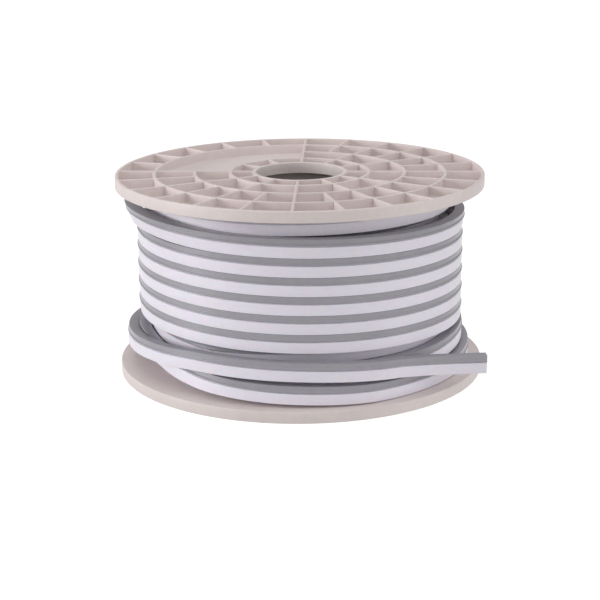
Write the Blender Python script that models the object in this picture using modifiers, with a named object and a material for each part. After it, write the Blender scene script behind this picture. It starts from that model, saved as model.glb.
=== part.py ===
"""Reel of LED neon flex: two ribbed flanges, a hub barrel and the two-tone flex wound between them.

Metres, +Z up. The origin is the centre of the lower flange's outer face, on the floor.
Azimuths are in degrees from the front, which is -Y, towards the right, which is +X.
"""

import math

import bpy
import bmesh
import numpy as np

# Flex section, as it lies on the reel: height along the reel's axis, depth along its radius.
FLEX_HEIGHT = 0.0158
FLEX_DEPTH = 0.0090
BASE_HEIGHT = 0.0056
BASE_PROUD = 0.0008
BASE_EDGE = 0.0010
DIFFUSER_EDGE = 0.0005
SEAM_GAP = 0.0005

# Winding: the radius of the main layer's white face, and the room kept between turns and layers.
MAIN_RADIUS = 0.1460
TURN_GAP = 0.0005
LAYER_GAP = 0.0004
DRUM_ROWS = 9.81
STATIONS_PER_TURN = 30
TAIL_LENGTH = 0.0765
TAIL_BEND = 0.0203

# Flanges: one moulding, used twice.
FLANGE_RADIUS = 0.1650
FLANGE_DEPTH = 0.0102
FLANGE_PLATE = 0.0020
RIM_WALL = 0.0030
RIM_EDGE = 0.0010
RIB_WALL = 0.0023
RING_WALL = 0.0028
OUTER_RING_RADIUS = 0.1300
MIDDLE_RING_RADIUS = 0.0938
INNER_RING_RADIUS = 0.0620
BORE_RADIUS = 0.0388
COLLAR_WALL = 0.0036
FINE_RIBS = 24
COARSE_RIBS = 12
RIB_TURN = -2.3
RECESS_START = 177.7
RECESS_SWEEP = 90.0
SPIGOT_WALL = 0.0037
SPIGOT_LENGTH = 0.0120

# Hub barrel.
BARREL_RADIUS = 0.0600
BARREL_WALL = 0.0040

FIT_GAP = 0.0003
ROUND_STEPS = 60
ARC_STEP = 7.5

PITCH = FLEX_HEIGHT + TURN_GAP
LAYER_STEP = FLEX_DEPTH + BASE_PROUD + LAYER_GAP
DRUM_WIDTH = DRUM_ROWS * PITCH
REEL_HEIGHT = DRUM_WIDTH + 2 * FLANGE_DEPTH
LOWER_FACE = FLANGE_DEPTH
UPPER_FACE = REEL_HEIGHT - FLANGE_DEPTH
TOP_ROW = UPPER_FACE - TURN_GAP - FLEX_HEIGHT / 2

# The outermost turns, in the order they were wound. Each station holds the azimuth, counted on
# through the turns; the layer, 0 being the main one; the rows below the top row; and the lean
# in degrees, positive where the strip's upper edge stands out.
FIRST_TURNS = (
    (-172, -1.00, 0.27, 0),
    (-60, -1.00, 0.14, 0),
    (-33, -1.00, 0.11, 0),
    (-10, -1.00, 0.07, 0),
    (45, -1.00, 0.00, 0),
    (70, -1.00, 0.00, 0),
    (110, -0.60, 0.00, 0),
    (150, -0.05, 0.04, 0),
    (190, 0.10, 0.24, 0),
    (230, 0.40, 0.52, 6),
    (270, 0.84, 0.73, 21),
    (300, 0.36, 0.83, 14),
    (330, 0.03, 0.975, 2),
)
SECOND_TURN = (
    (355, 0.00, 1.05, 0),
    (395, 0.07, 1.161, 5),
    (440, 0.09, 1.286, 7),
    (485, 0.07, 1.411, 5),
    (520, 0.00, 1.508, 0),
)
PLAIN_START = (715, 2.05)
PLAIN_TURNS = 4
LAST_TURNS = (
    (2250, 0.00, 6.314, 0),
    (2280, -0.45, 6.397, 0),
    (2310, -1.00, 6.48, 0),
    (2380, -1.00, 6.62, 0),
    (2445, -1.00, 6.76, 0),
    (2470, -0.96, 6.99, 3),
    (2485, -0.84, 7.04, 9),
    (2500, -1.00, 7.01, 0),
    (2515, -1.00, 6.90, 0),
    (2555, -1.00, 6.79, 0),
    (2585, -1.00, 6.84, 0),
    (2600, -1.00, 7.14, 0),
    (2625, -1.00, 7.42, 0),
    (2640, -1.00, 7.50, 0),
    (2700, -1.00, 7.60, 0),
    (2760, -1.00, 7.78, 0),
    (2845, -1.00, 8.05, 0),
    (2862, -0.92, 8.02, 0),
    (2875, -0.70, 7.94, 0),
    (2890, -0.35, 7.86, 0),
    (2900, 0.00, 7.78, 0),
    (2927, 0.10, 7.70, 0),
    (2955, 0.10, 7.56, 0),
    (3010, 0.10, 7.47, 0),
    (3120, 0.10, 7.45, 0),
    (3150, 0.10, 7.47, 0),
    (3165, 0.10, 7.56, -2),
    (3180, 0.10, 7.81, -7),
    (3197, 0.18, 8.27, -12),
    (3206, 0.46, 8.40, -8),
    (3220, 0.80, 8.51, 0),
    (3240, 1.00, 8.61, 0),
    (3260, 1.00, 8.73, 0),
    (3273, 0.78, 8.77, 0),
    (3287, 0.68, 8.77, 0),
    (3300, 0.67, 8.76, 0),
    (3340, 0.74, 8.68, 0),
    (3380, 0.80, 8.60, 0),
    (3420, 0.92, 8.54, 0),
    (3442, 1.12, 8.38, 0),
    (3480, 1.12, 7.99, 0),
    (3525, 1.12, 7.66, -3),
    (3552, 1.12, 7.39, -3),
    (3567, 1.12, 7.26, 0),
    (3595, 1.12, 7.33, 0),
    (3632, 1.12, 7.64, 0),
)

# The free end runs on from the last station and bends outwards: the share of its length, and
# the rows below the top row.
TAIL = (
    (0.20, 7.73),
    (0.40, 7.80),
    (0.60, 7.86),
    (0.80, 7.90),
    (1.00, 7.92),
)

# Rows down to which, and between which, the layer under the outermost turns is missing.
UPPER_DIP_END = 0.79
LOWER_DIP = (5.79, 8.60)

COLOURS = {
    "flange": (0.55, 0.49, 0.475),
    "barrel": (0.16, 0.145, 0.14),
    "core": (0.34, 0.33, 0.36),
    "base": (0.27, 0.26, 0.29),
    "diffuser": (0.80, 0.79, 0.83),
}


def clear_scene():
    for obj in list(bpy.data.objects):
        bpy.data.objects.remove(obj, do_unlink=True)


def make_collection(name):
    collection = bpy.data.collections.new(name)
    bpy.context.scene.collection.children.link(collection)
    return collection


def make_material(name, colour, roughness):
    material = bpy.data.materials.new(name)
    material.use_nodes = True
    shader = material.node_tree.nodes["Principled BSDF"]
    shader.inputs["Base Color"].default_value = (*colour, 1.0)
    shader.inputs["Roughness"].default_value = roughness
    shader.inputs["Metallic"].default_value = 0.0
    return material


def link_object(name, data, collection):
    obj = bpy.data.objects.new(name, data)
    collection.objects.link(obj)
    return obj


def finish(obj, material, crease=35.0):
    obj.data.materials.clear()
    obj.data.materials.append(material)
    obj.data.shade_smooth()
    obj.data.set_sharp_from_angle(angle=math.radians(crease))


def evaluated_mesh(obj):
    """The object's mesh with its modifiers applied and its loose caps welded."""
    bpy.context.view_layer.update()
    graph = bpy.context.evaluated_depsgraph_get()
    mesh = bpy.data.meshes.new_from_object(obj.evaluated_get(graph))
    welded = bmesh.new()
    welded.from_mesh(mesh)
    bmesh.ops.remove_doubles(welded, verts=welded.verts, dist=0.000005)
    bmesh.ops.recalc_face_normals(welded, faces=welded.faces)
    welded.to_mesh(mesh)
    welded.free()
    return mesh


def add_splines(curve, outlines, cyclic=True):
    for outline in outlines:
        spline = curve.splines.new("POLY")
        spline.points.add(len(outline) - 1)
        for point, place in zip(spline.points, outline):
            point.co = (*place, *(0.0,) * (3 - len(place)), 1.0)
        spline.use_cyclic_u = cyclic


def extruded_outlines(name, outlines, low, high, collection):
    """Flat outlines filled and extruded between two heights, as one mesh object."""
    curve = bpy.data.curves.new(name, "CURVE")
    curve.dimensions = "2D"
    curve.fill_mode = "BOTH"
    curve.extrude = (high - low) / 2
    add_splines(curve, outlines)
    flat = link_object(name + "_outline", curve, collection)
    mesh = evaluated_mesh(flat)
    bpy.data.objects.remove(flat)
    obj = link_object(name, mesh, collection)
    obj.location.z = (low + high) / 2
    return obj


def turned(name, profile, collection):
    """A closed profile of (radius, height) points turned about Z.

    The profile runs down its outer side, so that the turned faces point outwards.
    """
    mesh = bpy.data.meshes.new(name)
    count = len(profile)
    points = [(radius, 0.0, height) for radius, height in profile]
    mesh.from_pydata(points, [(i, (i + 1) % count) for i in range(count)], [])
    obj = link_object(name, mesh, collection)
    screw = obj.modifiers.new("turn", "SCREW")
    screw.axis = "Z"
    screw.angle = math.tau
    screw.steps = ROUND_STEPS
    screw.render_steps = ROUND_STEPS
    screw.use_merge_vertices = True
    screw.merge_threshold = 0.0001
    return obj


def polar(radius, degrees):
    angle = math.radians(degrees)
    return (radius * math.sin(angle), -radius * math.cos(angle))


def arc(radius, start, end):
    steps = max(1, round(abs(end - start) / ARC_STEP))
    return [polar(radius, start + (end - start) * i / steps) for i in range(steps + 1)]


def cell(inner, outer, start, sweep):
    """A pocket between two rings and two ribs, whose ribs keep one thickness along the radius."""
    outer_turn = math.degrees(math.asin(RIB_WALL / 2 / outer))
    inner_turn = math.degrees(math.asin(RIB_WALL / 2 / inner))
    end = start + sweep
    far_side = arc(outer, start + outer_turn, end - outer_turn)
    near_side = arc(inner, end - inner_turn, start + inner_turn)
    return far_side + near_side


def ring_of_cells(inner, outer, ribs, recess=False):
    sweep = 360.0 / ribs
    cells = []
    for index in range(ribs):
        start = RIB_TURN + index * sweep
        middle = start + sweep / 2
        if recess and 0 < (middle - RECESS_START) % 360 < RECESS_SWEEP:
            continue
        cells.append(cell(inner, outer, start, sweep))
    return cells


def flange_cells():
    """Every pocket of a flange, with one wide smooth pocket in place of a quarter of the two middle rings."""
    half = RING_WALL / 2
    rim = FLANGE_RADIUS - RIM_WALL
    collar = BORE_RADIUS + COLLAR_WALL
    cells = ring_of_cells(OUTER_RING_RADIUS + half, rim, FINE_RIBS)
    cells += ring_of_cells(MIDDLE_RING_RADIUS + half, OUTER_RING_RADIUS - half, FINE_RIBS, recess=True)
    cells += ring_of_cells(INNER_RING_RADIUS + half, MIDDLE_RING_RADIUS - half, COARSE_RIBS, recess=True)
    cells += ring_of_cells(collar, INNER_RING_RADIUS - half, COARSE_RIBS)
    cells.append(cell(INNER_RING_RADIUS + half, OUTER_RING_RADIUS - half, RECESS_START, RECESS_SWEEP))
    return cells


def make_flange(name, outer_face, inward, parts, cutters, material):
    """A flange whose ribbed face is at outer_face; inward is +1 for the lower one and -1 for the upper one."""

    def height(depth):
        return outer_face + inward * depth

    spigot_radius = BARREL_RADIUS - BARREL_WALL - FIT_GAP
    spigot_bore = spigot_radius - SPIGOT_WALL
    spigot_end = FLANGE_DEPTH + SPIGOT_LENGTH
    profile = [
        (FLANGE_RADIUS - RIM_EDGE, height(FLANGE_DEPTH)),
        (FLANGE_RADIUS, height(FLANGE_DEPTH - RIM_EDGE)),
        (FLANGE_RADIUS, height(RIM_EDGE)),
        (FLANGE_RADIUS - RIM_EDGE, height(0)),
        (BORE_RADIUS, height(0)),
        (BORE_RADIUS, height(FLANGE_DEPTH)),
        (spigot_bore, height(FLANGE_DEPTH)),
        (spigot_bore, height(spigot_end)),
        (spigot_radius, height(spigot_end)),
        (spigot_radius, height(FLANGE_DEPTH)),
    ]
    if inward < 0:
        profile.reverse()
    flange = turned(name, profile, parts)
    floor = height(FLANGE_DEPTH - FLANGE_PLATE)
    outside = height(-FLANGE_PLATE)
    pockets = extruded_outlines(
        name + "_pockets", flange_cells(), min(floor, outside), max(floor, outside), cutters
    )
    pockets.hide_render = True
    pockets.display_type = "WIRE"
    cut = flange.modifiers.new("pockets", "BOOLEAN")
    cut.operation = "DIFFERENCE"
    cut.solver = "EXACT"
    cut.object = pockets
    mesh = evaluated_mesh(flange)
    flange.modifiers.clear()
    flange.data = mesh
    finish(flange, material)
    return flange


def make_barrel(parts, material):
    low = LOWER_FACE + FIT_GAP
    high = UPPER_FACE - FIT_GAP
    inner = BARREL_RADIUS - BARREL_WALL
    profile = [(BARREL_RADIUS, high), (BARREL_RADIUS, low), (inner, low), (inner, high)]
    barrel = turned("hub_barrel", profile, parts)
    finish(barrel, material)
    return barrel


def row_height(rows):
    return TOP_ROW - rows * PITCH


def layer_radius(layer):
    return MAIN_RADIUS + layer * LAYER_STEP


def make_core(parts, material):
    """The hidden inner layers as one turned body, stepped back wherever an outer turn dips in."""
    flat_side = math.cos(math.pi / STATIONS_PER_TURN)
    packed = (layer_radius(0) - FLEX_DEPTH) * flat_side - LAYER_GAP
    dipped = (layer_radius(-1) - FLEX_DEPTH) * flat_side - LAYER_GAP
    top = UPPER_FACE - FIT_GAP
    bottom = LOWER_FACE + FIT_GAP
    under_top_turn = row_height(UPPER_DIP_END)
    dip_top = row_height(LOWER_DIP[0])
    dip_bottom = row_height(LOWER_DIP[1])
    profile = [
        (dipped, top),
        (dipped, under_top_turn),
        (packed, under_top_turn),
        (packed, dip_top),
        (dipped, dip_top),
        (dipped, dip_bottom),
        (packed, dip_bottom),
        (packed, bottom),
        (BARREL_RADIUS + FIT_GAP, bottom),
        (BARREL_RADIUS + FIT_GAP, top),
    ]
    core = turned("winding_core", profile, parts)
    finish(core, material)
    return core


def smooth_through(knots, values, where):
    """Monotone cubic interpolation: it passes through every value and never swings past one."""
    steps = np.diff(knots)
    slopes = np.diff(values) / steps
    tangents = np.zeros(len(knots))
    same_way = slopes[:-1] * slopes[1:] > 0
    before = 2 * steps[1:] + steps[:-1]
    after = steps[1:] + 2 * steps[:-1]
    with np.errstate(divide="ignore", invalid="ignore"):
        mean = (before + after) / (before / slopes[:-1] + after / slopes[1:])
    tangents[1:-1][same_way] = mean[same_way]
    tangents[0] = slopes[0]
    tangents[-1] = slopes[-1]
    index = np.clip(np.searchsorted(knots, where, side="right") - 1, 0, len(knots) - 2)
    span = steps[index]
    t = (where - knots[index]) / span
    start = (1 + 2 * t) * (1 - t) ** 2 * values[index] + t * (1 - t) ** 2 * span * tangents[index]
    end = t * t * (3 - 2 * t) * values[index + 1] + t * t * (t - 1) * span * tangents[index + 1]
    return start + end


def flex_route():
    """Points along the middle of the strip's outer face, with the lean at each, in radians."""
    azimuth, row = PLAIN_START
    plain = [(azimuth + 360 * turn, 0.0, row + turn, 0) for turn in range(PLAIN_TURNS + 1)]
    knots, layers, rows, leans = np.array([*FIRST_TURNS, *SECOND_TURN, *plain, *LAST_TURNS], float).T
    step = 360.0 / STATIONS_PER_TURN
    count = math.floor((knots[-1] - knots[0]) / step)
    azimuths = knots[-1] - step * np.arange(count, -1, -1)
    radius = layer_radius(smooth_through(knots, layers, azimuths))
    height = row_height(smooth_through(knots, rows, azimuths))
    lean = np.radians(smooth_through(knots, leans, azimuths))
    turn = np.radians(azimuths)
    wound = np.stack([radius * np.sin(turn), -radius * np.cos(turn), height], axis=1)
    end = turn[-1]
    share = np.array([share for share, _ in TAIL])
    along = share * TAIL_LENGTH
    aside = share**2 * TAIL_BEND
    tail = np.stack(
        [
            wound[-1, 0] + along * math.cos(end) + aside * math.sin(end),
            wound[-1, 1] + along * math.sin(end) - aside * math.cos(end),
            row_height(np.array([row for _, row in TAIL])),
        ],
        axis=1,
    )
    points = np.concatenate([wound, tail])
    leans_along = np.concatenate([lean, np.full(len(tail), lean[-1])])
    return points, leans_along


def make_strip(name, section, parts, cutters, material):
    """The section, given as (outwards, upwards) points, carried along the flex's route."""
    outline = bpy.data.curves.new(name + "_section", "CURVE")
    outline.dimensions = "2D"
    add_splines(outline, [section])
    guide = link_object(name + "_section", outline, cutters)
    points, leans = flex_route()
    path = bpy.data.curves.new(name + "_path", "CURVE")
    path.dimensions = "3D"
    path.twist_mode = "Z_UP"
    add_splines(path, [[tuple(map(float, place)) for place in points]], cyclic=False)
    for point, lean in zip(path.splines[0].points, leans):
        point.tilt = float(lean)
    path.bevel_mode = "OBJECT"
    path.bevel_object = guide
    path.use_fill_caps = True
    swept = link_object(name + "_swept", path, cutters)
    strip = link_object(name, evaluated_mesh(swept), parts)
    bpy.data.objects.remove(swept)
    bpy.data.objects.remove(guide)
    finish(strip, material)
    return strip


def base_section():
    top = FLEX_HEIGHT / 2
    bottom = top - BASE_HEIGHT
    return [
        (-FLEX_DEPTH, bottom),
        (BASE_PROUD - BASE_EDGE / 2, bottom),
        (BASE_PROUD, bottom + BASE_EDGE),
        (BASE_PROUD / 2, top),
        (-FLEX_DEPTH, top),
    ]


def diffuser_section():
    bottom = -FLEX_HEIGHT / 2
    top = -bottom - BASE_HEIGHT - SEAM_GAP
    return [
        (-FLEX_DEPTH, bottom),
        (-DIFFUSER_EDGE, bottom),
        (0.0, bottom + DIFFUSER_EDGE),
        (0.0, top),
        (-FLEX_DEPTH, top),
    ]


def main():
    clear_scene()
    parts = make_collection("neon_flex_reel")
    cutters = make_collection("cutters")
    plastic = make_material("flange_plastic", COLOURS["flange"], 0.45)
    make_flange("bottom_flange", 0.0, 1, parts, cutters, plastic)
    top_plastic = make_material("top_flange_plastic", COLOURS["flange"], 0.45)
    make_flange("top_flange", REEL_HEIGHT, -1, parts, cutters, top_plastic)
    make_barrel(parts, make_material("barrel_plastic", COLOURS["barrel"], 0.6))
    make_core(parts, make_material("inner_turns", COLOURS["core"], 0.6))
    base = make_material("flex_base_vinyl", COLOURS["base"], 0.5)
    make_strip("flex_base", base_section(), parts, cutters, base)
    diffuser = make_material("flex_diffuser_silicone", COLOURS["diffuser"], 0.4)
    make_strip("flex_diffuser", diffuser_section(), parts, cutters, diffuser)


main()
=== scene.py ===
"""LED neon flex on its reel: the finished pieces, their materials, the studio light and the camera.

Metres, +Z up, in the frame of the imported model. Azimuths are in degrees from the front, which is
-Y, towards the right, which is +X.
"""

import logging
import math
from dataclasses import dataclass, field
from enum import Enum

import bpy
import numpy as np
from mathutils import Matrix, Vector


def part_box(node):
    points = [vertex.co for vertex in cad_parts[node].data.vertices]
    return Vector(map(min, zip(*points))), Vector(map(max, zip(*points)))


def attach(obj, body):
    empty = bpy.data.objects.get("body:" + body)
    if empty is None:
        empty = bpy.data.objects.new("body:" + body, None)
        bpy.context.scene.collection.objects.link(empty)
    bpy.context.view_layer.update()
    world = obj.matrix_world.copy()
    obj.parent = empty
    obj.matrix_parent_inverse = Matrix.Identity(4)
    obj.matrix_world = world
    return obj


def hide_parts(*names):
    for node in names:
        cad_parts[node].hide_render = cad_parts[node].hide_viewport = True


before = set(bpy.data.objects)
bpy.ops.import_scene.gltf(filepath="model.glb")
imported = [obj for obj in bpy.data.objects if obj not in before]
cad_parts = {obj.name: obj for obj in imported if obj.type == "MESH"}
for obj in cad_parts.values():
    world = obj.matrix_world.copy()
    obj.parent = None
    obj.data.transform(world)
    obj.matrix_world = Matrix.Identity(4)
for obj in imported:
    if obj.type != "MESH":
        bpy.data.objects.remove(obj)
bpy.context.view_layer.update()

BODY = "root"
FLOW_MAP = "flow"
FLANGE_DEPTH = 0.0102
LOG = logging.getLogger("neon_flex_reel")

Array = np.ndarray
Triple = tuple[float, float, float]
Colour = Triple
Socket = bpy.types.NodeSocket
Values = dict[str | int, object]


class Slot(Enum):
    """The material slots that the record names."""

    FLANGE = "flange_plastic"
    BARREL = "barrel_plastic"
    INNER_TURNS = "inner_turns"
    BASE = "flex_base"
    DIFFUSER = "flex_diffuser"


class Facing(Enum):
    """Which way a flange's ribbed face looks."""

    DOWN = 1
    UP = -1


class Strand(Enum):
    """The two extruded parts of the flex."""

    HOUSING = 0
    FACE = 1


# The outermost turns, in the order they were wound. Each station holds the azimuth, counted on
# through the turns; the layer, 0 being the main one; the rows below the top row; and the lean
# in degrees, positive where the strip's upper edge stands out.
FIRST_TURNS = (
    (-172, -1.00, 0.27, 0),
    (-60, -1.00, 0.14, 0),
    (-33, -1.00, 0.11, 0),
    (-10, -1.00, 0.07, 0),
    (45, -1.00, 0.00, 0),
    (70, -1.00, 0.00, 0),
    (110, -0.60, 0.00, 0),
    (150, -0.05, 0.04, 0),
    (190, 0.10, 0.24, 0),
    (230, 0.40, 0.52, 6),
    (270, 0.84, 0.73, 21),
    (300, 0.36, 0.83, 14),
    (330, 0.03, 0.975, 2),
)
SECOND_TURN = (
    (355, 0.00, 1.05, 0),
    (395, 0.07, 1.161, 5),
    (440, 0.09, 1.286, 7),
    (485, 0.07, 1.411, 5),
    (520, 0.00, 1.508, 0),
)

# Between them the turns lie plainly, a row apart, from this azimuth and row on.
PLAIN_START = (715, 2.05)
PLAIN_TURNS = 4

LAST_TURNS = (
    (2250, 0.00, 6.314, 0),
    (2280, -0.45, 6.397, 0),
    (2310, -1.00, 6.48, 0),
    (2380, -1.00, 6.62, 0),
    (2445, -1.00, 6.76, 0),
    (2470, -0.96, 6.99, 3),
    (2485, -0.84, 7.04, 9),
    (2500, -1.00, 7.01, 0),
    (2515, -1.00, 6.90, 0),
    (2555, -1.00, 6.79, 0),
    (2585, -1.00, 6.84, 0),
    (2600, -1.00, 7.14, 0),
    (2625, -1.00, 7.42, 0),
    (2640, -1.00, 7.50, 0),
    (2700, -1.00, 7.60, 0),
    (2760, -1.00, 7.78, 0),
    (2845, -1.00, 8.05, 0),
    (2862, -0.92, 8.02, 0),
    (2875, -0.70, 7.94, 0),
    (2890, -0.35, 7.86, 0),
    (2900, 0.00, 7.78, 0),
    (2927, 0.10, 7.70, 0),
    (2955, 0.10, 7.56, 0),
    (3010, 0.10, 7.47, 0),
    (3120, 0.10, 7.45, 0),
    (3150, 0.10, 7.47, 0),
    (3165, 0.10, 7.56, -2),
    (3180, 0.10, 7.81, -7),
    (3197, 0.18, 8.27, -12),
    (3206, 0.46, 8.40, -8),
    (3220, 0.80, 8.51, 0),
    (3240, 1.00, 8.61, 0),
    (3260, 1.00, 8.73, 0),
    (3273, 0.78, 8.77, 0),
    (3287, 0.68, 8.77, 0),
    (3300, 0.67, 8.76, 0),
    (3340, 0.74, 8.68, 0),
    (3380, 0.80, 8.60, 0),
    (3420, 0.92, 8.54, 0),
    (3442, 1.12, 8.38, 0),
    (3480, 1.12, 7.99, 0),
    (3525, 1.12, 7.66, -3),
    (3552, 1.12, 7.39, -3),
    (3567, 1.12, 7.26, 0),
    (3595, 1.12, 7.33, 0),
    (3632, 1.12, 7.64, 0),
)

# The free end runs on from the last station and bends outwards: the share of its length, and
# the rows below the top row.
TAIL = (
    (0.20, 7.73),
    (0.40, 7.80),
    (0.60, 7.86),
    (0.80, 7.90),
    (1.00, 7.92),
)


def smooth_through(knots: Array, values: Array, where: Array) -> Array:
    """Monotone cubic interpolation, which passes through every value and never swings past one.

    Between two knots the curve is a cubic whose end slopes are the harmonic means of the slopes
    on both sides of each knot, or nought where those slopes differ in sign.

    Args:
        knots: Rising places of the values.
        values: The value at each knot.
        where: The places to read.

    Returns:
        The curve's values at those places.
    """
    steps = np.diff(knots)
    slopes = np.diff(values) / steps
    tangents = np.zeros(len(knots))
    same_way = slopes[:-1] * slopes[1:] > 0
    before = 2 * steps[1:] + steps[:-1]
    after = steps[1:] + 2 * steps[:-1]
    with np.errstate(divide="ignore", invalid="ignore"):
        mean = (before + after) / (before / slopes[:-1] + after / slopes[1:])
    tangents[1:-1][same_way] = mean[same_way]
    tangents[0] = slopes[0]
    tangents[-1] = slopes[-1]
    index = np.clip(np.searchsorted(knots, where, side="right") - 1, 0, len(knots) - 2)
    span = steps[index]
    t = (where - knots[index]) / span
    start = (1 + 2 * t) * (1 - t) ** 2 * values[index] + t * (1 - t) ** 2 * span * tangents[index]
    end = t * t * (3 - 2 * t) * values[index + 1] + t * t * (t - 1) * span * tangents[index + 1]
    return start + end


def arc_points(centre: tuple[float, float], radius: float, start: float, end: float, steps: int) -> Array:
    """Points on a circular arc in a section's plane.

    Args:
        centre: The arc's centre, outwards and upwards.
        radius: Its radius.
        start: Its first angle in degrees, from outwards towards upwards.
        end: Its last angle.
        steps: How many chords it has.

    Returns:
        An array of steps + 1 points.
    """
    turn = np.radians(np.linspace(start, end, steps + 1))
    return np.stack([centre[0] + radius * np.cos(turn), centre[1] + radius * np.sin(turn)], axis=1)


def signed_volume(points: Array, quads: Array) -> float:
    """Six times the volume inside the quads, below nought where they face inwards."""
    a, b, c, d = (points[quads[:, corner]] for corner in range(4))
    first = np.einsum("ij,ij->i", a, np.cross(b, c))
    second = np.einsum("ij,ij->i", a, np.cross(c, d))
    return float(first.sum() + second.sum())


def grid_object(name: str, grid: Array, flow: Array, ring: bool, crease: float) -> bpy.types.Object:
    """Makes a closed mesh from a grid of points whose columns join up into loops.

    Args:
        name: The piece's name.
        grid: Points of shape (rows, columns, 3).
        flow: Pattern coordinates of shape (rows + ring, columns + 1, 2), in metres.
        ring: True where the rows join up too; otherwise the first and last rows are capped.
        crease: The angle in degrees over which an edge stays sharp.

    Returns:
        The object, linked to the scene, at the origin.
    """
    rows, columns = grid.shape[:2]
    points = grid.reshape(-1, 3)
    bands = rows if ring else rows - 1
    row, column = np.meshgrid(np.arange(bands), np.arange(columns), indexing="ij")
    corner_rows = np.stack([row, row, row + 1, row + 1], axis=-1).reshape(-1, 4)
    corner_columns = np.stack([column, column + 1, column + 1, column], axis=-1).reshape(-1, 4)
    quads = (corner_rows % rows) * columns + corner_columns % columns
    corners = flow[corner_rows, corner_columns]
    caps = [] if ring else [np.arange(columns)[::-1], (rows - 1) * columns + np.arange(columns)]
    if signed_volume(points, quads) < 0:
        quads = quads[:, ::-1]
        corners = corners[:, ::-1]
        caps = [cap[::-1] for cap in caps]
    mesh = bpy.data.meshes.new(name)
    mesh.from_pydata(points.tolist(), [], quads.tolist() + [cap.tolist() for cap in caps])
    cap_flow = np.zeros((len(caps) * columns, 2))
    uv = mesh.uv_layers.new(name=FLOW_MAP)
    all_flow = np.concatenate([corners.reshape(-1, 2), cap_flow])
    uv.data.foreach_set("uv", all_flow.astype(np.float32).ravel())
    mesh.update()
    mesh.shade_smooth()
    mesh.set_sharp_from_angle(angle=math.radians(crease))
    obj = bpy.data.objects.new(name, mesh)
    bpy.context.scene.collection.objects.link(obj)
    return obj


def length_along(line: Array) -> Array:
    """Distance along a polyline to each of its points."""
    return np.concatenate([[0.0], np.cumsum(np.linalg.norm(np.diff(line, axis=0), axis=1))])


def turned_object(name: str, profile: Array, columns: int, crease: float) -> bpy.types.Object:
    """Turns a closed profile about Z: x = r sin a, y = -r cos a, z = height.

    Args:
        name: The piece's name.
        profile: Points of shape (rows, 2), radius and height.
        columns: How many steps the turn has.
        crease: The angle in degrees over which an edge stays sharp.

    Returns:
        The turned object.
    """
    turn = np.linspace(0, math.tau, columns, endpoint=False)
    radius, height = profile[:, :1], profile[:, 1:]
    level = np.broadcast_to(height, (len(profile), columns))
    grid = np.stack([radius * np.sin(turn), -radius * np.cos(turn), level], axis=-1)
    down = length_along(np.concatenate([profile, profile[:1]]))
    round_turn = np.linspace(0, math.tau * profile[:, 0].max(), columns + 1)
    flow = np.stack(np.meshgrid(down, round_turn, indexing="ij")[::-1], axis=-1)
    return grid_object(name, grid, flow, ring=True, crease=crease)


class NodeSheet:
    """Adds and joins nodes in one node tree."""

    def __init__(self, tree: bpy.types.NodeTree) -> None:
        """Keeps the tree to work on."""
        self.tree = tree

    def add(self, kind: str, inputs: Values | None = None, **settings: object) -> bpy.types.Node:
        """Adds a node.

        Args:
            kind: Its type.
            inputs: Values for its sockets, by their names or numbers.
            settings: Its own properties.

        Returns:
            The node.
        """
        node = self.tree.nodes.new(kind)
        for key, value in settings.items():
            setattr(node, key, value)
        for key, value in (inputs or {}).items():
            node.inputs[key].default_value = value
        return node

    def join(self, source: Socket, target: Socket) -> None:
        """Links one socket to another."""
        self.tree.links.new(source, target)

    def sums(self, operation: str, first: object, second: object, third: object = 0.0) -> Socket:
        """Adds a Math node and returns its output; each term is a number or a socket."""
        node = self.add("ShaderNodeMath", operation=operation)
        for socket, term in zip(node.inputs, (first, second, third)):
            if isinstance(term, Socket):
                self.join(term, socket)
            else:
                socket.default_value = term
        return node.outputs[0]

    def spread(self, value: Socket, low: float, high: float) -> Socket:
        """Maps 0 to 1 onto low to high."""
        node = self.add("ShaderNodeMapRange", {"To Min": low, "To Max": high})
        self.join(value, node.inputs["Value"])
        return node.outputs["Result"]

    def above(self, value: Socket, edge: tuple[float, float]) -> Socket:
        """Rises from 0 to 1 while a value passes through an edge, from its low to its high end."""
        node = self.add("ShaderNodeMapRange", {"From Min": edge[0], "From Max": edge[1]})
        self.join(value, node.inputs["Value"])
        return node.outputs["Result"]

    def noise(self, place: Socket, scale: object, detail: float, roughness: float = 0.55) -> Socket:
        """Adds a Noise texture and returns its value; the scale is a number or a socket."""
        node = self.add("ShaderNodeTexNoise", {"Detail": detail, "Roughness": roughness})
        self.join(place, node.inputs["Vector"])
        if isinstance(scale, Socket):
            self.join(scale, node.inputs["Scale"])
        else:
            node.inputs["Scale"].default_value = scale
        return node.outputs["Fac"]

    def stretched(self, place: Socket, scale: Triple, turn: float = 0.0) -> Socket:
        """Adds a Mapping node that scales and turns a pattern's coordinates."""
        node = self.add("ShaderNodeMapping", {"Scale": scale, "Rotation": (0.0, 0.0, turn)})
        self.join(place, node.inputs["Vector"])
        return node.outputs["Vector"]


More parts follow.
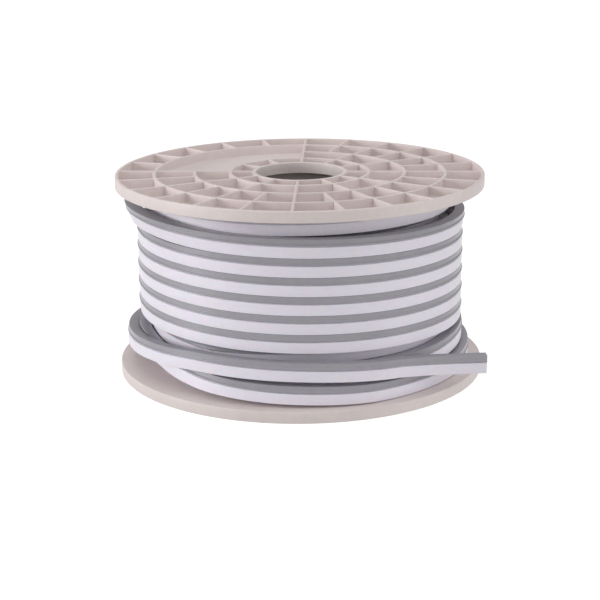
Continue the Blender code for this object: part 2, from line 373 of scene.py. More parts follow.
class EffectGroups:
    """Shader effects that several finishes share, each a node group built once."""

    CLOUD_SHARES: tuple[float, float] = (1.3, 0.9)
    CLOUD_MEAN: float = 1.1
    BROAD_LINES: Triple = (3.0, 420.0, 1.0)
    NARROW_LINES: Triple = (9.0, 2100.0, 1.0)
    LINE_SHARES: tuple[float, float] = (0.55, 0.45)
    RUB_STRETCH: Triple = (1.0, 7.0, 2.5)
    RUB_TURN: float = 0.6
    RUB_EDGE: tuple[float, float] = (0.60, 0.72)
    PATCH_SCALE: float = 22.0
    PATCH_EDGE: tuple[float, float] = (0.48, 0.62)

    def __init__(self) -> None:
        """Builds the three groups."""
        self.cloud = self.cloudy_tone()
        self.lines = self.draw_lines()
        self.marks = self.handling_marks()

    @staticmethod
    def opened(
        name: str, inputs: dict[str, float | None], output: str
    ) -> tuple[NodeSheet, bpy.types.Node]:
        """Makes an empty group.

        Args:
            name: The group's name.
            inputs: Socket names with their default values; None makes a vector socket.
            output: The output's name.

        Returns:
            The group's sheet, and its input node.
        """
        tree = bpy.data.node_groups.new(name, "ShaderNodeTree")
        for label, value in inputs.items():
            kind = "NodeSocketVector" if value is None else "NodeSocketFloat"
            socket = tree.interface.new_socket(label, in_out="INPUT", socket_type=kind)
            if value is not None:
                socket.default_value = value
        tree.interface.new_socket(output, in_out="OUTPUT", socket_type="NodeSocketFloat")
        sheet = NodeSheet(tree)
        return sheet, sheet.add("NodeGroupInput")

    @staticmethod
    def closed(sheet: NodeSheet, value: Socket) -> bpy.types.NodeTree:
        """Joins a value to the group's output and returns the group."""
        sheet.join(value, sheet.add("NodeGroupOutput").inputs[0])
        return sheet.tree

    def cloudy_tone(self) -> bpy.types.NodeTree:
        """Soft clouds with finer flecks in them, as a moulded or extruded skin has."""
        sockets = {"Place": None, "Wide": 20.0, "Fine": 150.0, "Swing": 1.0}
        sheet, given = self.opened("cloudy_tone", sockets, "Tone")
        wide = sheet.noise(given.outputs["Place"], given.outputs["Wide"], 2.0)
        fine = sheet.noise(given.outputs["Place"], given.outputs["Fine"], 4.0)
        wide_share, fine_share = self.CLOUD_SHARES
        both = sheet.sums("MULTIPLY_ADD", wide, wide_share, sheet.sums("MULTIPLY", fine, fine_share))
        even = sheet.sums("SUBTRACT", both, self.CLOUD_MEAN)
        swing = sheet.sums("MULTIPLY", even, given.outputs["Swing"])
        centred = sheet.sums("ADD", swing, 0.5)
        return self.closed(sheet, sheet.sums("MINIMUM", sheet.sums("MAXIMUM", centred, 0.0), 1.0))

    def draw_lines(self) -> bpy.types.NodeTree:
        """Fine lines along an extrusion, from the die it was drawn through."""
        sheet, given = self.opened("draw_lines", {"Flow": None, "Closeness": 1.0}, "Lines")
        place = sheet.add("ShaderNodeVectorMath", operation="SCALE")
        sheet.join(given.outputs["Flow"], place.inputs[0])
        sheet.join(given.outputs["Closeness"], place.inputs["Scale"])
        broad = sheet.noise(sheet.stretched(place.outputs[0], self.BROAD_LINES), 1.0, 2.0)
        narrow = sheet.noise(sheet.stretched(place.outputs[0], self.NARROW_LINES), 1.0, 3.0)
        broad_share, narrow_share = self.LINE_SHARES
        broad_part = sheet.sums("MULTIPLY", broad, broad_share)
        both = sheet.sums("MULTIPLY_ADD", narrow, narrow_share, broad_part)
        return self.closed(sheet, both)

    def handling_marks(self) -> bpy.types.NodeTree:
        """Sparse faint rubs: short stretched streaks, kept to a few patches."""
        sockets = {"Place": None, "Scale": 60.0, "Amount": 0.5}
        sheet, given = self.opened("handling_marks", sockets, "Marks")
        drawn_out = sheet.stretched(given.outputs["Place"], self.RUB_STRETCH, self.RUB_TURN)
        streaks = sheet.noise(drawn_out, given.outputs["Scale"], 5.0)
        patches = sheet.noise(given.outputs["Place"], self.PATCH_SCALE, 2.0)
        sharp = sheet.above(streaks, self.RUB_EDGE)
        kept = sheet.above(patches, self.PATCH_EDGE)
        marks = sheet.sums("MULTIPLY", sharp, kept)
        return self.closed(sheet, sheet.sums("MULTIPLY", marks, given.outputs["Amount"]))


@dataclass(frozen=True)
class Finish:
    """A finish of the reel or the flex: its colours, its gloss and how its skin varies.

    The tone's clouds and flecks have the scales wide and fine, and swing is how far they move it.
    The fields lines and marks say how strongly the extrusion's lines and the rubs show.
    """

    name: str
    light: Colour
    dark: Colour
    roughness: tuple[float, float]
    wide: float = 14.0
    fine: float = 170.0
    swing: float = 1.0
    lines: float = 0.0
    closeness: float = 1.0
    marks: float = 0.4
    rub_scale: float = 60.0
    grain: float = 2600.0
    grain_height: float = 0.00002
    line_height: float = 1.5
    bump: float = 0.6
    rub_darkening: float = 0.5
    rub_dulling: float = 0.25
    ior: float = 1.47
    through_light: float = 0.0
    through_reach: float = 0.002

    def material(self, groups: EffectGroups) -> bpy.types.Material:
        """Builds the material.

        The tone is a cloudy field, with the extrusion's lines mixed in where it has them; it
        picks the colour between dark and light and the roughness within its range. Rubs darken
        the colour and lift the roughness, and the skin's grain and lines are a bump.

        Args:
            groups: The shared effects.

        Returns:
            The material.
        """
        material = bpy.data.materials.new(self.name)
        material.use_nodes = True
        sheet = NodeSheet(material.node_tree)
        shader = material.node_tree.nodes["Principled BSDF"]
        shader.inputs["IOR"].default_value = self.ior
        shader.inputs["Subsurface Weight"].default_value = self.through_light
        shader.inputs["Subsurface Scale"].default_value = self.through_reach
        place = sheet.add("ShaderNodeTexCoord").outputs["Object"]
        cloud = sheet.add("ShaderNodeGroup", node_tree=groups.cloud)
        for label, value in (("Wide", self.wide), ("Fine", self.fine), ("Swing", self.swing)):
            cloud.inputs[label].default_value = value
        sheet.join(place, cloud.inputs["Place"])
        tone = cloud.outputs["Tone"]
        height = sheet.noise(place, self.grain, 2.0)
        if self.lines > 0:
            drawn = {"Closeness": self.closeness}
            lines = sheet.add("ShaderNodeGroup", drawn, node_tree=groups.lines)
            flow = sheet.add("ShaderNodeUVMap", uv_map=FLOW_MAP)
            sheet.join(flow.outputs["UV"], lines.inputs["Flow"])
            offset = sheet.sums("SUBTRACT", lines.outputs["Lines"], 0.5)
            tone = sheet.sums("MULTIPLY_ADD", offset, self.lines, tone)
            height = sheet.sums("MULTIPLY_ADD", lines.outputs["Lines"], self.line_height, height)
        rubs = {"Scale": self.rub_scale, "Amount": self.marks}
        marks = sheet.add("ShaderNodeGroup", rubs, node_tree=groups.marks)
        sheet.join(place, marks.inputs["Place"])
        ramp = sheet.add("ShaderNodeValToRGB")
        ramp.color_ramp.elements[0].color = (*self.dark, 1.0)
        ramp.color_ramp.elements[1].color = (*self.light, 1.0)
        worn = sheet.sums("MULTIPLY_ADD", marks.outputs["Marks"], -self.rub_darkening, tone)
        sheet.join(worn, ramp.inputs["Fac"])
        sheet.join(ramp.outputs["Color"], shader.inputs["Base Color"])
        gloss = sheet.spread(tone, *self.roughness)
        dulled = sheet.sums("MULTIPLY_ADD", marks.outputs["Marks"], self.rub_dulling, gloss)
        sheet.join(dulled, shader.inputs["Roughness"])
        bump = sheet.add("ShaderNodeBump", {"Strength": self.bump, "Distance": self.grain_height})
        sheet.join(height, bump.inputs["Height"])
        sheet.join(bump.outputs["Normal"], shader.inputs["Normal"])
        return material


FLANGE_FINISH = Finish(
    name="ivory_moulding",
    light=(0.785, 0.70, 0.685),
    dark=(0.68, 0.60, 0.585),
    roughness=(0.42, 0.56),
)
# The tube is dark, and its colour is made darker still as painted shade for the deep bore, where little
# light reaches.
BARREL_AND_BORE_SHADE_FINISH = Finish(
    name="dark_tube_bore_shade",
    light=(0.030, 0.024, 0.021),
    dark=(0.016, 0.013, 0.012),
    roughness=(0.55, 0.70),
    fine=260.0,
)
HOUSING_FINISH = Finish(
    name="grey_vinyl",
    light=(0.375, 0.365, 0.398),
    dark=(0.310, 0.300, 0.330),
    roughness=(0.26, 0.36),
    wide=9.0,
    lines=0.5,
    grain_height=0.000004,
)
FACE_FINISH = Finish(
    name="milky_silicone",
    light=(0.86, 0.82, 0.90),
    dark=(0.80, 0.76, 0.84),
    roughness=(0.38, 0.50),
    wide=9.0,
    lines=0.6,
    marks=0.5,
    grain_height=0.000012,
    through_light=0.25,
)


@dataclass(frozen=True)
class FlexSection:
    """The flex's section as it lies on the reel: height along its axis, depth along its radius.

    The housing's bead stands proud of the white face and its flat side lies a little behind it.
    Its top reaches into the gap between turns. The seam is open as far in as its depth.
    """

    height: float = 0.0158
    depth: float = 0.0090
    base_height: float = 0.0056
    bead_proud: float = 0.0008
    side_proud: float = -0.0001
    bead_height: float = 0.0014
    bead_turn: float = 0.0007
    bead_start: float = 0.0009
    top_rise: float = 0.0003
    seam: float = 0.0008
    seam_depth: float = 0.0009
    contact: float = 0.00002
    face_edge: float = 0.00025
    face_crown: float = 0.00012
    back_edge: float = 0.0005
    corner: float = 0.0002

    @property
    def top(self) -> float:
        """Half the flex's height, from its middle up."""
        return self.height / 2

    @property
    def bead_foot(self) -> float:
        """Height of the housing's lower edge above the flex's middle."""
        return self.top - self.base_height

    def housing_side(self) -> Array:
        """The housing's outer side, from its lower edge up to its top corner.

        A bead swells out of the flat side just above the seam: an arc turns it under, and above
        that its offset falls by half a cosine wave from the bead's own to the side's.
        """
        share = np.linspace(0.0, 1.0, 11)
        middle = (self.bead_proud - self.bead_turn, self.bead_foot + self.bead_turn)
        under = arc_points(middle, self.bead_turn, -90, -10, 4)
        rise = self.bead_foot + self.bead_start + share * self.bead_height
        swell = (1 + np.cos(share * math.pi)) / 2
        slope = np.stack([self.side_proud + (self.bead_proud - self.side_proud) * swell, rise], axis=1)
        edge = (self.side_proud - self.corner, self.top + self.top_rise - self.corner)
        corner = arc_points(edge, self.corner, 0, 90, 4)
        return np.concatenate([under, slope, corner])

    def housing(self) -> Array:
        """The housing's closed outline: outer side, top, back and underside."""
        middle = (-self.depth + self.back_edge, self.top + self.top_rise - self.back_edge)
        back = arc_points(middle, self.back_edge, 90, 180, 3)
        foot = np.array([[-self.depth, self.bead_foot], [-self.seam_depth, self.bead_foot]])
        return np.concatenate([self.housing_side(), back, foot])

    def face_side(self) -> Array:
        """The white face, from its lower edge up into the seam, bowed out by a shallow parabola."""
        low = -self.top
        high = self.bead_foot - self.seam
        small = self.face_edge / 2
        bottom = arc_points((-self.face_edge, low + self.face_edge), self.face_edge, -90, 0, 4)
        rise = np.linspace(low + self.face_edge, high - small, 9)[1:-1]
        share = (rise - rise[0]) / (rise[-1] - rise[0]) * 2 - 1
        bow = np.stack([self.face_crown * (1 - share**2), rise], axis=1)
        shoulder = arc_points((-small, high - small), small, 0, 90, 3)
        return np.concatenate([bottom, bow, shoulder])

    def face(self) -> Array:
        """The white part's closed outline: face, seam, root under the housing, back and underside."""
        high = self.bead_foot - self.seam
        root = self.bead_foot - self.contact
        seam = np.array([[-self.seam_depth, high], [-self.seam_depth, root], [-self.depth, root]])
        middle = (-self.depth + self.back_edge, -self.top + self.back_edge)
        back = arc_points(middle, self.back_edge, 180, 270, 3)
        return np.concatenate([self.face_side(), seam, back])

    def outline(self, strand: Strand) -> Array:
        """The closed outline of one of the two parts."""
        return self.housing() if strand is Strand.HOUSING else self.face()


@dataclass(frozen=True)
class Winding:
    """Where the flex runs on the drum: rows along the axis, layers along the radius."""

    section: FlexSection = field(default_factory=FlexSection)
    main_radius: float = 0.1460
    turn_gap: float = 0.0005
    layer_gap: float = 0.0004
    flange_depth: float = FLANGE_DEPTH
    tail_length: float = 0.0765
    tail_bend: float = 0.0203
    steps_per_turn: int = 150
    tail_steps: int = 36

    @property
    def upper_face(self) -> float:
        """Height of the upper flange's inner face."""
        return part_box("top_flange")[1].z - self.flange_depth

    @property
    def pitch(self) -> float:
        """Rise from one turn to the next."""
        return self.section.height + self.turn_gap

    def row_height(self, rows: Array) -> Array:
        """Height of the flex's middle, that many rows below the top row."""
        return self.upper_face - self.turn_gap - self.section.height / 2 - rows * self.pitch

    def layer_radius(self, layer: Array) -> Array:
        """Radius of the white face in a layer."""
        return self.main_radius + layer * (self.section.depth + self.section.bead_proud + self.layer_gap)

    def line(self) -> tuple[Array, Array]:
        """The middle of the white face all along the flex.

        On the drum x = r sin a and y = -r cos a, with radius, height and lean interpolated over
        the azimuth; the free end goes on from there and bends outwards, its height over its length.

        Returns:
            Points of shape (stations, 3), and the lean at each in radians.
        """
        azimuth, row = PLAIN_START
        plain = [(azimuth + 360 * turn, 0.0, row + turn, 0) for turn in range(PLAIN_TURNS + 1)]
        knots, layers, rows, leans = np.array([*FIRST_TURNS, *SECOND_TURN, *plain, *LAST_TURNS], float).T
        count = round((knots[-1] - knots[0]) / 360 * self.steps_per_turn)
        where = np.linspace(knots[0], knots[-1], count + 1)
        radius = self.layer_radius(smooth_through(knots, layers, where))
        height = self.row_height(smooth_through(knots, rows, where))
        turn = np.radians(where)
        wound = np.stack([radius * np.sin(turn), -radius * np.cos(turn), height], axis=1)
        shares, droop = np.array([(0.0, rows[-1]), *TAIL]).T
        share = np.linspace(0, 1, self.tail_steps + 1)[1:]
        along, aside = share * self.tail_length, share**2 * self.tail_bend
        tail = np.stack(
            [
                wound[-1, 0] + along * math.cos(turn[-1]) + aside * math.sin(turn[-1]),
                wound[-1, 1] + along * math.sin(turn[-1]) - aside * math.cos(turn[-1]),
                self.row_height(smooth_through(shares, droop, share)),
            ],
            axis=1,
        )
        lean = np.radians(smooth_through(knots, leans, where))
        return np.concatenate([wound, tail]), np.concatenate([lean, np.full(len(tail), lean[-1])])

    def swept(self, outline: Array) -> tuple[Array, Array]:
        """Carries a section along the line.

        The section's outward axis is level and square to the line, its upward axis is square to
        both, and the lean turns the two together.

        Args:
            outline: Section points of shape (columns, 2), outwards and upwards.

        Returns:
            The grid of points, and its pattern coordinates, length along and distance around.
        """
        line, lean = self.line()
        ahead = np.gradient(line, axis=0)
        ahead /= np.linalg.norm(ahead, axis=1, keepdims=True)
        outward = np.cross(ahead, (0.0, 0.0, 1.0))
        outward /= np.linalg.norm(outward, axis=1, keepdims=True)
        upward = np.cross(outward, ahead)
        cos, sin = np.cos(lean)[:, None], np.sin(lean)[:, None]
        across = outward * cos - upward * sin
        along = outward * sin + upward * cos
        out, up = outline[None, :, :1], outline[None, :, 1:]
        grid = line[:, None] + across[:, None] * out + along[:, None] * up
        around = length_along(np.concatenate([outline, outline[:1]]))
        flow = np.stack(np.meshgrid(length_along(line), around, indexing="ij"), axis=-1)
        return grid, flow


@dataclass(frozen=True)
class NeonFlex:
    """The flex itself: the grey housing and the milky face that it holds."""

    winding: Winding = field(default_factory=Winding)
    crease: float = 40.0

    def build(
        self, strand: Strand, name: str, node: str, slot: Slot, material: bpy.types.Material
    ) -> None:
        """Makes one of the two parts and sets it in the place of its solid.

        Args:
            strand: Which part.
            name: The piece's name.
            node: The solid that it stands for.
            slot: Its material slot; not used.
            material: Its finish.
        """
        grid, flow = self.winding.swept(self.winding.section.outline(strand))
        obj = grid_object(name, grid, flow, ring=False, crease=self.crease)
        dress(obj, node, [material])


@dataclass(frozen=True)
class InnerTurns:
    """The turns under the outer ones, as rings of the same section stacked on the drum."""

    winding: Winding = field(default_factory=Winding)
    rows: int = 10
    columns: int = 180
    drum_radius: float = 0.0603
    gap_depth: float = 0.0022
    end_gap: float = 0.0003
    crease: float = 40.0
    dips: tuple[tuple[float, float], ...] = ((-1.0, 0.79), (5.79, 8.60))

    def heights(self) -> Array:
        """Middles of the rings, spread evenly between the flanges."""
        low = self.winding.flange_depth + self.end_gap + self.winding.section.top
        high = self.winding.upper_face - self.end_gap - self.winding.section.top
        return np.linspace(low, high, self.rows)

    def layer(self, height: float) -> int:
        """The layer of the ring at that height: one further in where an outer turn dips."""
        top = self.winding.section.top
        for first, last in self.dips:
            high, low = self.winding.row_height(first), self.winding.row_height(last)
            if height + top > low and height - top < high:
                return -2
        return -1

    def profile(self) -> tuple[Array, Array]:
        """The closed outline of all rings, and the strand that each of its points starts."""
        section = self.winding.section
        face, side = section.face_side(), section.housing_side()
        points, strands = [], []
        for height in self.heights():
            radius = self.winding.layer_radius(self.layer(height))
            place = np.array([radius - section.bead_proud, height])
            points += [
                np.array([[radius - self.gap_depth, height - section.top]]),
                face + place,
                side + place,
                np.array([[radius - self.gap_depth, height + section.top]]),
            ]
            strands += [Strand.FACE] * (1 + len(face)) + [Strand.HOUSING] * (len(side) + 1)
        top, bottom = points[-1][0, 1], points[0][0, 1]
        inner = np.array([[self.drum_radius, top], [self.drum_radius, bottom]])
        strands += [Strand.HOUSING] * 2
        return np.concatenate([*points, inner]), np.array([strand.value for strand in strands])

    def build(self, housing: bpy.types.Material, face: bpy.types.Material) -> None:
        """Makes the rings as one piece with both finishes."""
        profile, strands = self.profile()
        obj = turned_object("packed_turns", profile, self.columns, self.crease)
        dress(obj, "winding_core", [housing, face])
        indices = np.repeat(strands, self.columns).astype(np.int32)
        obj.data.polygons.foreach_set("material_index", indices)


@dataclass(frozen=True)
class Wall:
    """One side of a rib or ring in section, from its flat top down to the pocket's floor."""

    edge: float = 0.00040
    draft: float = 0.00015
    fillet: float = 0.00070

    def section(self, depth: float) -> tuple[Array, Array]:
        """Two eighth-turn arcs round the top edge, a drafted face, and two round the foot.

        Args:
            depth: The pocket's depth.

        Returns:
            Distances from the wall's face into the pocket, and depths below its top.
        """
        turn = np.radians([0.0, 45.0, 90.0])
        sin, cos = np.sin(turn), np.cos(turn)
        out = np.concatenate([self.edge * (sin - 1), self.draft + self.fillet * (1 - cos)])
        down = np.concatenate([self.edge * (1 - cos), depth - self.fillet * (1 - sin)])
        return out, down


@dataclass(frozen=True)
class Flange:
    """A ribbed flange: rings and ribs round a bored collar, with one wide smooth pocket."""

    name: str
    node: str
    facing: Facing
    wall: Wall = field(default_factory=Wall)
    depth: float = FLANGE_DEPTH
    plate: float = 0.0020
    rim_wall: float = 0.0030
    rim_edge: float = 0.0010
    rib_wall: float = 0.0023
    ring_wall: float = 0.0028
    rings: tuple[float, float, float] = (0.0620, 0.0938, 0.1300)
    bore: float = 0.0388
    collar_wall: float = 0.0036
    collar_edge: float = 0.0006
    ribs: int = 24
    rib_turn: float = -2.3
    smooth_ribs: tuple[int, int] = (12, 18)
    spigot_radius: float = 0.0557
    spigot_wall: float = 0.0037
    spigot_length: float = 0.0120
    face_rows: tuple[float, float] = (0.130, 0.095)
    floor_rows: int = 3
    floor_columns: int = 4
    crease: float = 20.0

    @property
    def radius(self) -> float:
        """The rim's radius, which the solid gives."""
        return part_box(self.node)[1].x

    @property
    def pocket(self) -> float:
        """Depth of the pockets."""
        return self.depth - self.plate

    def bands(self) -> list[tuple[float, float]]:
        """Inner and outer wall faces of each ring of pockets, from the collar to the rim."""
        half = self.ring_wall / 2
        inner = [self.bore + self.collar_wall, *(ring + half for ring in self.rings)]
        outer = [*(ring - half for ring in self.rings), self.radius - self.rim_wall]
        return list(zip(inner, outer))

    def pocket_rows(self) -> tuple[Array, Array, Array, Array]:
        """The rows across the ribbed face.

        Each band of pockets has a wall's section, floor rows and a wall's section turned round.

        Returns:
            Radii, depths, the band of each row, and whether it lies on the middle ring.
        """
        out, down = self.wall.section(self.pocket)
        share = np.linspace(0, 1, self.floor_rows + 2)[1:-1]
        radii, depths, band, middle = [], [], [], []
        for index, (low, high) in enumerate(self.bands()):
            floor = low + out[-1] + share * (high - low - 2 * out[-1])
            radii += [low + out, floor, high - out[::-1]]
            depths += [down, np.full(self.floor_rows, self.pocket), down[::-1]]
            count = 2 * len(out) + self.floor_rows
            band += [index] * count
            near_middle = np.zeros(count, bool)
            near_middle[-len(out):] = index == 1
            near_middle[: len(out)] = index == 2
            middle.append(near_middle)
        return np.concatenate(radii), np.concatenate(depths), np.array(band), np.concatenate(middle)

    def turned_rows(self) -> Array:
        """The rows that are the same all round: rim, inner face, spigot, bore and collar edge."""
        rim, edge, deep = self.radius, self.rim_edge, self.depth
        spigot, end = self.spigot_radius, self.depth + self.spigot_length
        spigot_bore, soft = spigot - self.spigot_wall, self.collar_edge
        outer_edge = arc_points((rim - edge, edge), edge, -90, 0, 4)
        inner_edge = arc_points((rim - edge, deep - edge), edge, 0, 90, 4)
        plain = np.array([[radius, deep] for radius in self.face_rows])
        root = np.array([[spigot + soft, deep], [spigot, deep + soft]])
        tip = np.array([[spigot, end - soft], [spigot - soft, end]])
        tip_inside = np.array([[spigot_bore + soft, end], [spigot_bore, end - soft]])
        plate = np.array([[spigot_bore, deep], [self.bore + soft, deep]])
        bore = np.array([[self.bore, deep - soft], [self.bore, deep / 2]])
        collar = arc_points((self.bore + soft, soft), soft, 180, 270, 3)
        inside = [tip_inside, plate, bore, collar]
        return np.concatenate([outer_edge, inner_edge, plain, root, tip, *inside])

    def columns(self, radii: Array) -> tuple[Array, Array, Array]:
        """The columns round the flange, from rib to rib.

        A rib keeps one thickness, so a column at a distance d from its middle line lies at an
        angle of asin(d / r) from it; the columns between share what is left evenly.

        Args:
            radii: The radius of every row.

        Returns:
            Azimuths of shape (rows, columns) in radians, and for each column its depth on a rib
            and the rib that it belongs to.
        """
        out, down = self.wall.section(self.pocket)
        sweep = math.tau / self.ribs
        side = np.arcsin((self.rib_wall / 2 + out)[None, :] / radii[:, None])
        share = np.linspace(0, 1, self.floor_columns + 2)[None, 1:-1]
        floor = side[:, -1:] + share * (sweep - 2 * side[:, -1:])
        local = np.concatenate([np.zeros((len(radii), 1)), side, floor, sweep - side[:, ::-1]], axis=1)
        start = math.radians(self.rib_turn) + sweep * np.arange(self.ribs)
        azimuths = (start[None, :, None] + local[:, None, :]).reshape(len(radii), -1)
        drop = np.concatenate([[0.0], down, np.full(self.floor_columns, self.pocket), down[::-1]])
        next_rib = np.arange(len(drop)) > len(down) + self.floor_columns
        owner = (np.arange(self.ribs)[:, None] + next_rib[None, :]) % self.ribs
        return azimuths, np.tile(drop, self.ribs), owner.reshape(-1)

    def rib_table(self) -> Array:
        """Which ribs each band of pockets has: every rib outside, every second one inside."""
        rib = np.arange(self.ribs)
        smooth = (rib > self.smooth_ribs[0]) & (rib < self.smooth_ribs[1])
        coarse = rib % 2 == 0
        return np.stack([coarse, coarse & ~smooth, ~smooth, np.ones(self.ribs, bool)])

    def surface(self) -> tuple[Array, Array]:
        """The whole flange as one grid that closes both ways.

        The depth at a row and a column is the lesser of the ring's and the rib's, so that walls
        meet in mitred corners; the middle ring is left out of the wide pocket.

        Returns:
            The grid of points, and its pattern coordinates.
        """
        radii, depths, band, middle = self.pocket_rows()
        turned = self.turned_rows()
        all_radii = np.concatenate([radii, turned[:, 0]])
        azimuths, drop, owner = self.columns(all_radii)
        sector = np.repeat(np.arange(self.ribs), len(drop) // self.ribs)
        wide = (sector >= self.smooth_ribs[0]) & (sector < self.smooth_ribs[1])
        ring_depth = np.where(middle[:, None] & wide[None, :], self.pocket, depths[:, None])
        rib_depth = np.where(self.rib_table()[band][:, owner], drop[None, :], self.pocket)
        ribbed = np.minimum(ring_depth, rib_depth)
        plain = np.broadcast_to(turned[:, 1:], (len(turned), len(drop)))
        depth = np.concatenate([ribbed, plain])
        low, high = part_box(self.node)
        height = low.z + depth if self.facing is Facing.DOWN else high.z - depth
        radius = all_radii[:, None]
        grid = np.stack([radius * np.sin(azimuths), -radius * np.cos(azimuths), height], axis=-1)
        loop = np.stack([np.append(all_radii, all_radii[0]), np.append(depth[:, 0], 0.0)], axis=1)
        down = length_along(loop)
        round_rim = np.linspace(0, math.tau * self.radius, len(drop) + 1)
        flow = np.stack(np.meshgrid(down, round_rim, indexing="ij"), axis=-1)
        return grid, flow

    def build(self, material: bpy.types.Material) -> None:
        """Makes the flange and sets it in the place of its solid."""
        grid, flow = self.surface()
        obj = grid_object(self.name, grid, flow, ring=True, crease=self.crease)
        dress(obj, self.node, [material])


@dataclass(frozen=True)
class Barrel:
    """The dark tube between the flanges, its colour darkened further as painted shade for the deep bore.
    """

    wall: float = 0.0040
    edge: float = 0.0006
    columns: int = 180
    crease: float = 40.0

    def build(self, material: bpy.types.Material) -> None:
        """Makes the tube, its ends rounded, and sets it in the place of its solid."""
        low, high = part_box("hub_barrel")
        outer, inner, edge = high.x, high.x - self.wall, self.edge
        profile = np.concatenate(
            [
                arc_points((outer - edge, low.z + edge), edge, -90, 0, 3),
                arc_points((outer - edge, high.z - edge), edge, 0, 90, 3),
                arc_points((inner + edge, high.z - edge), edge, 90, 180, 3),
                np.array([[inner, low.z + (high.z - low.z) * share] for share in (0.8, 0.5, 0.2)]),
                arc_points((inner + edge, low.z + edge), edge, 180, 270, 3),
            ]
        )
        obj = turned_object("hub_tube", profile, self.columns, self.crease)
        dress(obj, "hub_barrel", [material])


def dress(obj: bpy.types.Object, node: str, materials: list[bpy.types.Material]) -> None:
    """Gives a piece its materials and the body it rides on, and hides the solid that it stands for.

    Args:
        obj: The finished piece.
        node: The solid that it replaces.
        materials: Its materials, in the order of its faces' indices.
    """
    for material in materials:
        obj.data.materials.append(material)
    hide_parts(node)
    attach(obj, BODY)
    LOG.info("%s: %d faces, in place of %s", obj.name, len(obj.data.polygons), node)


@dataclass(frozen=True)
class PhotoCamera:
    """The camera at the photograph's angle, for an image of 600 by 600."""

    distance: float = 1.466
    pitch: float = 15.94
    roll: float = -0.429
    target: Triple = (-0.00051, 0.0, 0.0599)
    focal_pixels: float = 1598.8
    image_pixels: float = 600.0
    sensor: float = 36.0
    far: float = 100.0

    def build(self) -> None:
        """Makes the camera, looking along +Y and down by the pitch, turned by the roll."""
        data = bpy.data.cameras.new("photo_camera")
        data.sensor_width = self.sensor
        data.lens = self.sensor * self.focal_pixels / self.image_pixels
        data.clip_end = self.far
        camera = bpy.data.objects.new("photo_camera", data)
        bpy.context.scene.collection.objects.link(camera)
        pitch, roll = math.radians(self.pitch), math.radians(self.roll)
        forward = Vector((0.0, math.cos(pitch), -math.sin(pitch)))
        up = Vector((0.0, math.sin(pitch), math.cos(pitch)))
        right = Vector((1.0, 0.0, 0.0))
        turned_right = math.cos(roll) * right + math.sin(roll) * up
        turned_up = -math.sin(roll) * right + math.cos(roll) * up
        facing = Matrix((turned_right, turned_up, -forward)).transposed().to_4x4()
        place = Vector(self.target) - forward * self.distance
        camera.matrix_world = Matrix.Translation(place) @ facing
        bpy.context.scene.camera = camera


@dataclass(frozen=True)
class Softbox:
    """A rectangular area light that looks at the reel."""

    name: str
    place: Triple
    size: tuple[float, float]
    power: float
    aim: Triple = (0.0, 0.0, 0.08)

    def build(self) -> None:
        """Makes the light."""
        data = bpy.data.lights.new(self.name, "AREA")
        data.shape = "RECTANGLE"
        data.size, data.size_y = self.size
        data.energy = self.power
        light = bpy.data.objects.new(self.name, data)
        light.location = self.place
        ahead = Vector(self.aim) - Vector(self.place)
        light.rotation_euler = ahead.to_track_quat("-Z", "Y").to_euler()
        bpy.context.scene.collection.objects.link(light)


@dataclass(frozen=True)
class Glow:
    """A part of the air's light that comes from one side and fades over that half of the sky."""

    towards: Triple
    strength: float


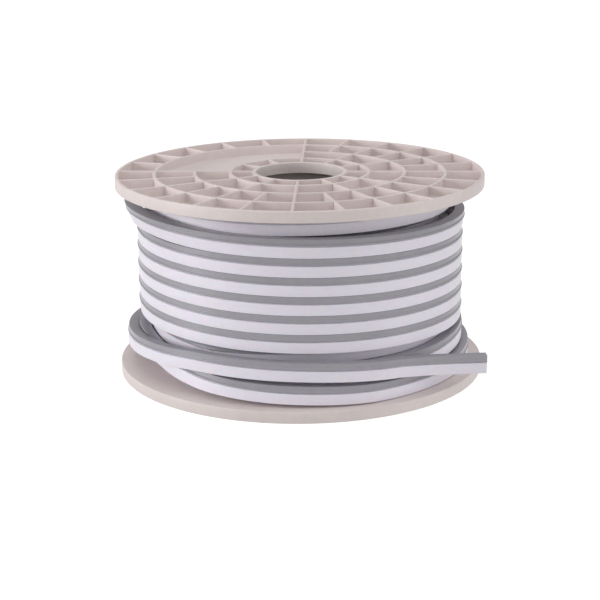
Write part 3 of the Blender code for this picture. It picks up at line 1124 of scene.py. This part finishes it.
@dataclass(frozen=True)
class Studio:
    """A white cut-out ground, soft light from the air, and softboxes at both sides and above.

    The air glows from the front right, the upper front, the lower front, the back and above.
    """

    floor_size: float = 24.0
    floor_light: float = 1.1
    air: tuple[Glow, ...] = (
        Glow((0.707, -0.707, 0.0), 0.34),
        Glow((0.35, -0.62, 0.70), 0.29),
        Glow((0.45, -0.45, -0.77), 0.43),
        Glow((0.0, 1.0, 0.0), 0.25),
        Glow((0.0, 0.0, 1.0), 0.60),
    )
    lights: tuple[Softbox, ...] = (
        Softbox("left_softbox", (-2.0, -0.5, 0.5), (1.0, 0.8), 27.0),
        Softbox("right_softbox", (2.0, -0.5, 0.5), (1.0, 0.8), 2.5),
        Softbox("top_softbox", (0.0, 0.6, 2.2), (2.0, 1.6), 4.3),
    )

    def floor(self) -> None:
        """Makes the floor, a plane that glows white under the reel.

        The photograph's ground is a cut-out white: the floor takes no shadow, gives no diffuse
        light, and lets the light of the air below it pass.
        """
        mesh = bpy.data.meshes.new("studio_floor")
        half = self.floor_size / 2
        corners = [(-half, -half, 0.0), (half, -half, 0.0), (half, half, 0.0), (-half, half, 0.0)]
        mesh.from_pydata(corners, [], [(0, 1, 2, 3)])
        floor = bpy.data.objects.new("studio_floor", mesh)
        bpy.context.scene.collection.objects.link(floor)
        floor.visible_diffuse = False
        floor.visible_shadow = False
        material = bpy.data.materials.new("white_ground")
        material.use_nodes = True
        shader = material.node_tree.nodes["Principled BSDF"]
        shader.inputs["Base Color"].default_value = (0.0, 0.0, 0.0, 1.0)
        shader.inputs["Specular IOR Level"].default_value = 0.0
        shader.inputs["Emission Color"].default_value = (1.0, 1.0, 1.0, 1.0)
        shader.inputs["Emission Strength"].default_value = self.floor_light
        mesh.materials.append(material)

    def sky(self) -> None:
        """Makes the light of the air: the sum of the glows, each by the cosine to its side."""
        world = bpy.data.worlds.new("studio_air")
        world.use_nodes = True
        sheet = NodeSheet(world.node_tree)
        way = sheet.add("ShaderNodeTexCoord").outputs["Generated"]
        total: Socket | float = 0.0
        for glow in self.air:
            cosine = sheet.add("ShaderNodeVectorMath", {1: glow.towards}, operation="DOT_PRODUCT")
            sheet.join(way, cosine.inputs[0])
            facing = sheet.sums("MAXIMUM", cosine.outputs["Value"], 0.0)
            total = sheet.sums("MULTIPLY_ADD", facing, glow.strength, total)
        background = world.node_tree.nodes["Background"]
        background.inputs["Color"].default_value = (1.0, 1.0, 1.0, 1.0)
        sheet.join(total, background.inputs["Strength"])
        bpy.context.scene.world = world

    def build(self) -> None:
        """Makes the floor, the air and the lights, and shows their colours as they are."""
        self.floor()
        self.sky()
        for light in self.lights:
            light.build()
        bpy.context.scene.view_settings.view_transform = "Standard"
        LOG.info("studio: %d lights", len(self.lights))


def main() -> None:
    """Builds the camera, the studio and every piece of the reel."""
    logging.basicConfig(level=logging.INFO, format="%(name)s: %(message)s")
    PhotoCamera().build()
    Studio().build()
    groups = EffectGroups()
    ivory = FLANGE_FINISH.material(groups)
    grey = HOUSING_FINISH.material(groups)
    white = FACE_FINISH.material(groups)
    Flange("lower_flange", "bottom_flange", Facing.DOWN).build(ivory)
    Flange("upper_flange", "top_flange", Facing.UP).build(ivory)
    Barrel().build(BARREL_AND_BORE_SHADE_FINISH.material(groups))
    InnerTurns().build(grey, white)
    flex = NeonFlex()
    flex.build(Strand.HOUSING, "flex_housing", "flex_base", Slot.BASE, grey)
    flex.build(Strand.FACE, "flex_face", "flex_diffuser", Slot.DIFFUSER, white)


if __name__ == "__main__":
    main()
